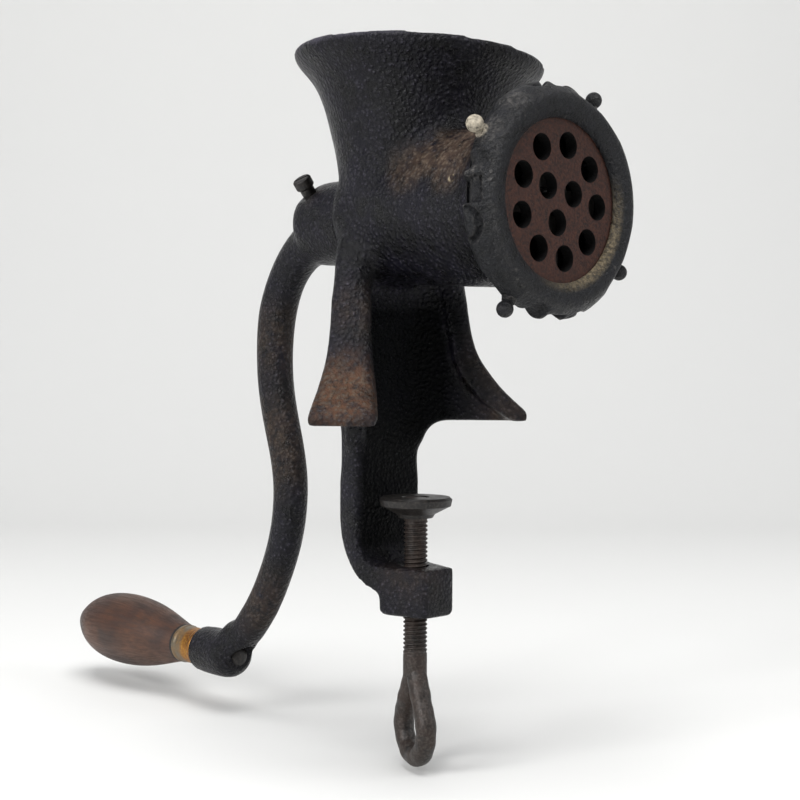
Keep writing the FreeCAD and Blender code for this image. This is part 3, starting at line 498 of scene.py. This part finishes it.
# 0 at the first limit, 1 at the second, straight between and held outside
def ramp(value, none, full):
    return np.clip((value - none) / (full - none), 0, 1)


# held: the screw's bore, the barrel's tapering inside, its mouth and its rear face keep their true sizes
def heldOnBody(points, part):
    x, y, z = points.T
    fromBarrel = np.hypot(x, z - barrelZ)
    bore = (np.hypot(x, y) < part["bore"]) & (z < part["boreTop"])
    wall = part["inside"] + (part["insideEnd"] - y) * part["taper"]
    inside = (y < part["insideEnd"]) & (fromBarrel < wall)
    rear = (y > part["rearY"]) & (fromBarrel < part["rear"])
    return (bore | inside | (y < part["mouthY"]) | rear).astype(float)


# blend: the tops of the legs run out on the barrel's side, and the strap's top softens under the feet
def blendOnBody(points, part):
    x, y, z = points.T
    outward = ramp(np.hypot(x, z - barrelZ), *part["legsOut"])
    legs = outward * ramp(z, *part["legsLow"]) * ramp(z, *part["legsHigh"])
    legs = legs * ramp(y, *part["legsRear"]) * ramp(y, *part["legsFront"])
    strap = ramp(z, *part["strapLow"]) * ramp(z, *part["strapHigh"]) * ramp(np.abs(x), *part["strapSide"])
    return np.maximum(legs, part["strapShare"] * strap)


# body's skin: grid and rounds, what is held in mm, and for each blend where it is none and where full
bodySkin = {
    "mergeMm": 0.001, "gridMm": 1.1, "relax": 4, "blendRounds": 45, "pull": 0.6, "fills": [],
    "held": heldOnBody, "blend": blendOnBody, "press": None,
    "bore": 5.2, "boreTop": -45, "inside": 18.6, "insideEnd": 16, "taper": 0.055,
    "mouthY": -49, "rearY": 19.5, "rear": 17.5,
    "legsOut": (19.5, 22.5), "legsLow": (40, 46), "legsHigh": (66, 61), "legsRear": (26, 22),
    "legsFront": (-24, -18),
    "strapLow": (-20, -14), "strapHigh": (-1, -5), "strapSide": (17, 13), "strapShare": 0.35,
}

# handle pin: axis, rivet and seat on the elbow's front, pin and the head inside the grip's end
spindle = {
    "axisZ": -92.3, "rivetY": 95.7, "seatY": 97.0, "rivet": 3.6, "pin": 3.0, "head": 5.0, "headThick": 2.4,
    "dome": [(0, 0.05), (0, 1.3), (0.5, 2.9)],  # behind the rivet's front, and radius
    "collar": (0.6, 0.7), "tip": 0.05, "around": 40,
}


# held: the hub's bore and front face, the set screw's seat and the bore and rear face of the handle's boss
def heldOnCrank(points, part):
    x, y, z = points.T
    hub = (y < part["hubFront"]) | ((np.hypot(x, z - barrelZ) < part["hubBore"]) & (y < part["hubEnd"]))
    pinBore = (np.hypot(x, z - spindle["axisZ"]) < part["pinBore"]) & (y > part["bossFront"])
    return (hub | pinBore | (y > part["bossRear"])).astype(float)


# blend: the arm's root in the hub and its elbow at the handle's boss
def blendOnCrank(points, part):
    x, y, z = points.T
    root = ramp(z, *part["rootHigh"]) * ramp(y, *part["rootBack"])
    return np.maximum(root, ramp(z, *part["elbow"]))


# press: points in front of the rivet's seat go back to it, inside a shallow round pocket
def pressOnCrank(points, part):
    x, y, z = points.T
    inPocket = ramp(np.hypot(x, z - spindle["axisZ"]), *part["pocket"])
    pressed = y + inPocket * (np.maximum(y, spindle["seatY"]) - y)
    return np.stack([x, np.where(y < part["bossFront"], pressed, y), z], axis=-1)


# crank's skin, as the body's; fills are centre, radii and tilt of the lumps that carry the elbow to the boss
crankSkin = {
    "mergeMm": 0.001, "gridMm": 0.9, "relax": 3, "blendRounds": 30, "pull": 0.6,
    "held": heldOnCrank, "blend": blendOnCrank, "press": pressOnCrank,
    "fills": [
        ((0, 96.4, -86.6), (6.3, 6.4, 9.5), 44), ((0, 101.0, -92.3), (8.8, 5.7, 8.8), 0),
        ((0, 101.6, -83.6), (5.6, 3.6, 7.0), 44),
    ],
    "hubFront": 27.5, "hubBore": 8.0, "hubEnd": 50, "pinBore": 4.9, "bossFront": 101, "bossRear": 118.5,
    "rootHigh": (38, 50), "rootBack": (40, 48), "elbow": (-74, -84), "pocket": (5.0, 4.1),
}
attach(castSkin("body_casting", "bodySkin", bodySkin, "blackPaintOnCastIron"), "stand")
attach(castSkin("crank_arm", "crankSkin", crankSkin, "blackPaintOnCrank"), "drive")
print("cast skins made")


# pin turned about the handle's axis: radius against y from the rivet's dome to the head
def handlePin(part):
    headEnd = (np.array(nodes["handle_spindle"].bound_box)[:, 1] / mm).max()
    headStart = headEnd - part["headThick"]
    collarEnd, pinStart = part["collar"]
    profile = np.array([(part["rivetY"] + back, radius) for back, radius in part["dome"]] + [
        (part["seatY"], part["rivet"]), (part["seatY"] + collarEnd, part["rivet"]),
        (part["seatY"] + pinStart, part["pin"]), (headStart, part["pin"]),
        (headStart, part["head"]), (headEnd, part["head"]), (headEnd, part["tip"]),
    ])
    above, beside = circles(profile[:, 1:], part["around"])
    points = np.stack(np.broadcast_arrays(beside, profile[:, :1], part["axisZ"] + above), axis=-1)
    return gridPiece("handlePin", points, "blackenedPadSteel")


pin = handlePin(spindle)
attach(pin, "drive")
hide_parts("handle_spindle")
print("handle pin turned")


# clamp screw: right-handed thread with rounded crests, a plain neck and a forged loop
clampScrew = {
    "crest": 3.96, "depth": 0.62, "pitch": 1.411, "top": -31.5, "end": -76.7, "neckEnd": -83.5,
    "flank": 1.35, "rootFlat": 0.12, "fadeLow": 2.5, "fadeTop": 1.5, "leadIn": 0.3, "around": 48, "rows": 420,
    "spigot": 2.58, "spigotLap": 0.4, "spigotTop": -24.8, "spigotAround": 40,
    "headRadius": 3.95, "headLow": -26.1, "headEdge": (0.5, 0.25),
    "rod": 3.5, "bend": 9.5, "bendZ": -100.7, "apexZ": -81.0, "turn": 69.3, "loopRows": 160, "loopAround": 28,
    "hammer": (0.04, 0.9, 0.31), "flatten": 0.96,  # swell and its two waves, thickness to width
}


# radius along z: root plus a rounded ridge that climbs one pitch per turn, faded out near both ends
def threadedRod(part):
    angle = np.linspace(0, 2 * np.pi, part["around"], endpoint=False)
    z = np.linspace(part["neckEnd"], part["top"], part["rows"])[:, None]
    phase = z / part["pitch"] - angle[None, :] / (2 * np.pi)
    ridge = np.abs(2 * (phase - np.floor(phase)) - 1)
    ridge = np.clip(part["flank"] * ridge - part["rootFlat"], 0, 1)
    cut = np.clip((z - part["end"]) / part["fadeLow"], 0, 1)
    cut = cut * np.clip((part["top"] - z) / part["fadeTop"], part["leadIn"], 1)
    radius = part["crest"] - part["depth"] * cut * (1 - ridge)
    points = np.stack(np.broadcast_arrays(radius * np.cos(angle), radius * np.sin(angle), z), axis=-1)
    return gridPiece("screwThread", points, "agedScrewSteel")


# turned end: radius against z for the spigot and its peened head
def spigotEnd(part):
    inward, down = part["headEdge"]
    profile = np.array([
        (part["spigot"], part["top"] - part["spigotLap"]), (part["spigot"], part["headLow"]),
        (part["headRadius"], part["spigotTop"] - down), (part["headRadius"] - inward, part["spigotTop"]),
    ])
    across = circles(profile[:, :1], part["spigotAround"])
    points = np.stack(np.broadcast_arrays(*across, profile[:, 1:]), axis=-1)
    return gridPiece("screwSpigot", points, "agedScrewSteel")


# teardrop loop: a straight limb down, an arc round the bottom and a limb back up, carried by a round section
def forgedLoop(part):
    spread = np.arcsin(part["bend"] / (part["apexZ"] - part["bendZ"]))
    limb = part["bend"] / np.tan(spread)
    arc = part["bend"] * (np.pi + 2 * spread)
    s = np.linspace(0, 2 * limb + arc, part["loopRows"])
    turnAngle = np.clip((s - limb) / part["bend"], 0, np.pi + 2 * spread)
    heading = -np.pi / 2 + spread - turnAngle
    step = np.diff(s, prepend=s[0])[:, None]
    tangent = np.stack([np.cos(heading), np.sin(heading)], axis=-1)
    flat = np.cumsum(tangent * step, axis=0) + np.array([0, part["apexZ"]])
    normal = np.stack([-tangent[:, 1], tangent[:, 0]], axis=-1)
    swell, shortWave, longWave = part["hammer"]
    rod = part["rod"] * (1 + swell * np.sin(s * shortWave) * np.sin(s * longWave + 1))[:, None]
    across, off = circles(rod, part["loopAround"])
    inPlane = flat[:, None, :] + normal[:, None, :] * across[..., None]
    off = off * part["flatten"]
    turn = np.radians(part["turn"])
    x = inPlane[..., 0] * np.cos(turn) - off * np.sin(turn)
    y = inPlane[..., 0] * np.sin(turn) + off * np.cos(turn)
    return gridPiece("screwLoop", np.stack([x, y, inPlane[..., 1]], axis=-1), "agedScrewSteel")


for piece in (threadedRod(clampScrew), spigotEnd(clampScrew), forgedLoop(clampScrew)):
    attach(piece, "screw")
    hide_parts("clamp_screw")
print("clamp screw threaded")


# ring nut: flared front, collar with scallops, pockets and thumb tabs, four ball-ended knobs
ringNut = {
    "axisZ": barrelZ, "angles": 640, "perSpan": 5, "knobStart": 59.0, "knobTurn": 90.0,
    "profile": [  # y and radius, once round the section from the lip
        (-61.4, 24.45), (-62.3, 24.6), (-63.5, 26.2), (-64.15, 28.2), (-64.35, 29.9), (-64.0, 31.4),
        (-63.0, 32.7), (-61.4, 34.1), (-59.4, 35.2), (-57.4, 35.3), (-55.4, 34.6), (-53.4, 32.9),
        (-52.0, 31.2), (-51.85, 30.0), (-51.85, 27.6), (-56.5, 27.6), (-61.3, 27.6), (-61.4, 26.0),
    ],
    "outerRadius": (29.8, 31.4), "outerY": (-64.3, -62.5),  # relief: none at, full at
    "scallop": (15.5, 5.5, 1.9), "scallopY": (-63.6, -60.6),  # degrees past a knob, half width and depth
    "pocket": (29.5, 6.8, 2.9), "pocketSide": 0.9, "pocketY": (-61.8, -60.9),
    "tab": (45.5, 4.9, 1.9), "tabY": -55.6, "tabRadius": 34.5, "tabGroove": 0.75, "tabOpen": (1.5, 0.5),
    "dip": 1.0, "dipDeg": 13.0, "dipAt": (8, 82),
    "knobBase": 30.5, "knobReach": 40.4, "knobRadius": 2.55, "stemRadius": 2.3, "knobY": -57.7,
    "rootLong": 3.2, "rootFlare": (0.8, 0.3), "ballStart": -0.62 * np.pi, "ballRows": 18, "tip": 0.02,
    "neckRows": slice(2, 6), "neckShare": 0.86, "knobAround": 28,
}


# section smoothed through its corners by cubics and carried round the axis; outer points sink by scallop,
# pocket, tab groove and a dip beside each knob
def ringSurface(part):
    corners = np.array(part["profile"] + part["profile"][:1])
    share = np.arange(0, len(corners) - 1, 1 / part["perSpan"])
    base = np.floor(share).astype(int)
    mix = (share - base)[:, None]
    before, after = corners[(base - 1) % (len(corners) - 1)], corners[(base + 2) % (len(corners) - 1)]
    first, second = corners[base], corners[base + 1]
    smooth = 0.5 * (2 * first + (second - before) * mix
                    + (2 * before - 5 * first + 4 * second - after) * mix ** 2
                    + (3 * first - before - 3 * second + after) * mix ** 3)
    y, radius = smooth[:, :1], smooth[:, 1:]
    turn = np.linspace(0, 360, part["angles"], endpoint=False)[None, :]
    local = (turn - part["knobStart"]) % part["knobTurn"]
    outer = ramp(radius, *part["outerRadius"]) * ramp(y, *part["outerY"])
    where, half, depth = part["scallop"]
    sink = depth * np.clip(1 - ((local - where) / half) ** 2, 0, 1) * ramp(y, *part["scallopY"])
    where, half, depth = part["pocket"]
    sides = np.clip((half - np.abs(local - where)) / part["pocketSide"], 0, 1)
    sink = sink + depth * sides * ramp(y, *part["pocketY"])
    where, size, depth = part["tab"]
    reach = np.hypot(np.radians(local - where) * part["tabRadius"], y - part["tabY"])
    groove = np.exp(-((reach - size) / part["tabGroove"]) ** 2)
    sink = sink + depth * groove * ramp(y - part["tabY"], *part["tabOpen"])
    afterKnob, beforeKnob = part["dipAt"]
    aside = np.minimum(np.abs(local - afterKnob), np.abs(local - beforeKnob))
    sink = sink + part["dip"] * np.clip(1 - (aside / part["dipDeg"]) ** 2, 0, 1)
    full = radius - outer * sink
    angle = np.radians(turn)
    x, z = full * np.cos(angle), part["axisZ"] + full * np.sin(angle)
    points = np.stack(np.broadcast_arrays(x, y, z), axis=-1)
    return gridPiece("ringShell", points, "rubbedRingIron", torus=True)


# ball-ended stem: radius against reach, turned about a line from the ring's axis
def ringKnob(part, number):
    size, stem, root = part["knobRadius"], part["stemRadius"], part["knobBase"]
    ball = np.linspace(part["ballStart"], nearPole, part["ballRows"])
    centre = part["knobReach"] - size
    reach = np.concatenate([[root, root + part["rootLong"]], centre + size * np.sin(ball)])[:, None]
    flare = stem + np.array(part["rootFlare"])
    radius = np.concatenate([flare, np.maximum(size * np.cos(ball), part["tip"])])
    radius[part["neckRows"]] = np.maximum(radius[part["neckRows"]], stem * part["neckShare"])
    around, along = circles(radius[:, None], part["knobAround"])
    way = np.radians(part["knobStart"] + number * part["knobTurn"])
    points = np.stack([reach * np.cos(way) - around * np.sin(way), part["knobY"] + along,
                       part["axisZ"] + reach * np.sin(way) + around * np.cos(way)], axis=-1)
    return gridPiece(f"ringKnob{number}", points, "rubbedRingIron")


for piece in [ringSurface(ringNut)] + [ringKnob(ringNut, number) for number in range(4)]:
    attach(piece, "ring")
    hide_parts("ring_nut")
print("ring nut sculpted")


# stage: a paper floor that bends up into a backdrop
stage = {
    "floorZ": -115.0, "front": -1500.0, "bend": 700.0, "round": 500.0, "top": 1600.0, "half": 2600.0,
    "turn": -42.7, "bendRows": 24,
    "paper": "#dcdcda", "fibre": "#dededc", "fibreNoise": (40.0, 0.3, 0.7), "fibreShare": 0.12, "rough": 0.9,
}


# profile of floor, quarter circle and wall, carried along X and turned to face the camera
def sweepStage(part):
    quarter = np.linspace(0, np.pi / 2, part["bendRows"])
    wall = part["bend"] + part["round"]
    y = np.concatenate([[part["front"]], part["bend"] + part["round"] * np.sin(quarter), [wall]])
    z = np.concatenate([[0], part["round"] * (1 - np.cos(quarter)), [part["top"]]]) + part["floorZ"]
    x = np.array([-part["half"], part["half"]])
    points = np.stack(np.broadcast_arrays(x[None, :], y[:, None], z[:, None]), axis=-1)
    turn = np.radians(part["turn"])
    spin = np.array([[np.cos(turn), np.sin(turn), 0], [-np.sin(turn), np.cos(turn), 0], [0, 0, 1]])
    piece = gridPiece("paperSweep", points @ spin, "studioPaper", wrap=False, caps=False)


# matt studio paper: even pale grey with a faint fibre mottle
def studioPaper(name, look):
    material, tree, shader, place = newMaterial(name)
    fibre = times(tree, speckle(tree, place, *look["fibreNoise"]), look["fibreShare"])
    feed(tree, shader.inputs["Base Color"], mixed(tree, fibre, look["paper"], look["fibre"]))
    feed(tree, shader.inputs["Roughness"], look["rough"])
    return material


finishes["studioPaper"] = studioPaper("studioPaper", stage)
sweepStage(stage)

# soft boxes: place and aim in mm, side in mm, watts
lamps = {
    "topBox": ((-250, -350, 1300), (0, 20, 0), 1000, 21),
    "leftBox": ((-1200, 100, 500), (0, 20, 20), 600, 13),
    "rightBox": ((700, -900, 500), (0, 0, 20), 700, 4),
}


# square lamp whose back points away from its aim, with its side level
def softBox(name, spot, aim, size, watts):
    lamp = bpy.data.lights.new(name, "AREA")
    lamp.shape = "SQUARE"
    lamp.size = size * mm
    lamp.energy = watts
    back = np.subtract(spot, aim) / np.linalg.norm(np.subtract(spot, aim))
    side = np.cross([0, 0, 1], back) / np.linalg.norm(np.cross([0, 0, 1], back))
    matrix = np.eye(4)
    matrix[:3, :3] = np.stack([side, np.cross(back, side), back], axis=1)
    matrix[:3, 3] = np.array(spot) * mm
    lampObject = bpy.data.objects.new(name, lamp)
    lampObject.matrix_world = Matrix(matrix.tolist())
    bpy.context.collection.objects.link(lampObject)


for lampName, setting in lamps.items():
    softBox(lampName, *setting)

# even light of a pale room
room = {"colour": "#f1f2f8", "strength": 0.3}
world = bpy.data.worlds.new("paleRoom")
bpy.context.scene.world = world
world.use_nodes = True
roomLight = world.node_tree.nodes["Background"]
roomLight.inputs["Color"].default_value = hexColour(room["colour"])
roomLight.inputs["Strength"].default_value = room["strength"]

# camera from the photograph: place in mm, angles in degrees, focal length in pixels of an 800 frame
shot = {
    "place": (-324.4, -343.5, 19.4), "azimuth": -42.71, "pitch": 1.47, "roll": 0.29,
    "focalPx": 1440.1, "framePx": 800, "sensor": 36.0, "nearest": 10.0,
}


# turned by the azimuth, dipped by the pitch, then rolled about the line of sight
def photoCamera(view):
    azimuth, pitch, roll = np.radians([view["azimuth"], view["pitch"], view["roll"]])
    ahead = np.array([-np.sin(azimuth), np.cos(azimuth), 0])
    right = np.array([np.cos(azimuth), np.sin(azimuth), 0])
    up = np.array([0, 0, 1.0])
    over = np.sin(pitch) * ahead + np.cos(pitch) * up
    matrix = np.eye(4)
    matrix[:3, 0] = np.cos(roll) * right + np.sin(roll) * over
    matrix[:3, 1] = np.cos(roll) * over - np.sin(roll) * right
    matrix[:3, 2] = np.sin(pitch) * up - np.cos(pitch) * ahead
    matrix[:3, 3] = np.array(view["place"]) * mm
    data = bpy.data.cameras.new("photoCamera")
    data.sensor_width = view["sensor"]
    data.lens = view["focalPx"] / view["framePx"] * view["sensor"]
    data.clip_start = view["nearest"] * mm
    camera = bpy.data.objects.new("photoCamera", data)
    camera.matrix_world = Matrix(matrix.tolist())
    bpy.context.collection.objects.link(camera)
    bpy.context.scene.camera = camera


photoCamera(shot)
bpy.context.scene.view_settings.view_transform = "Standard"
print("stage, lamps and camera set")
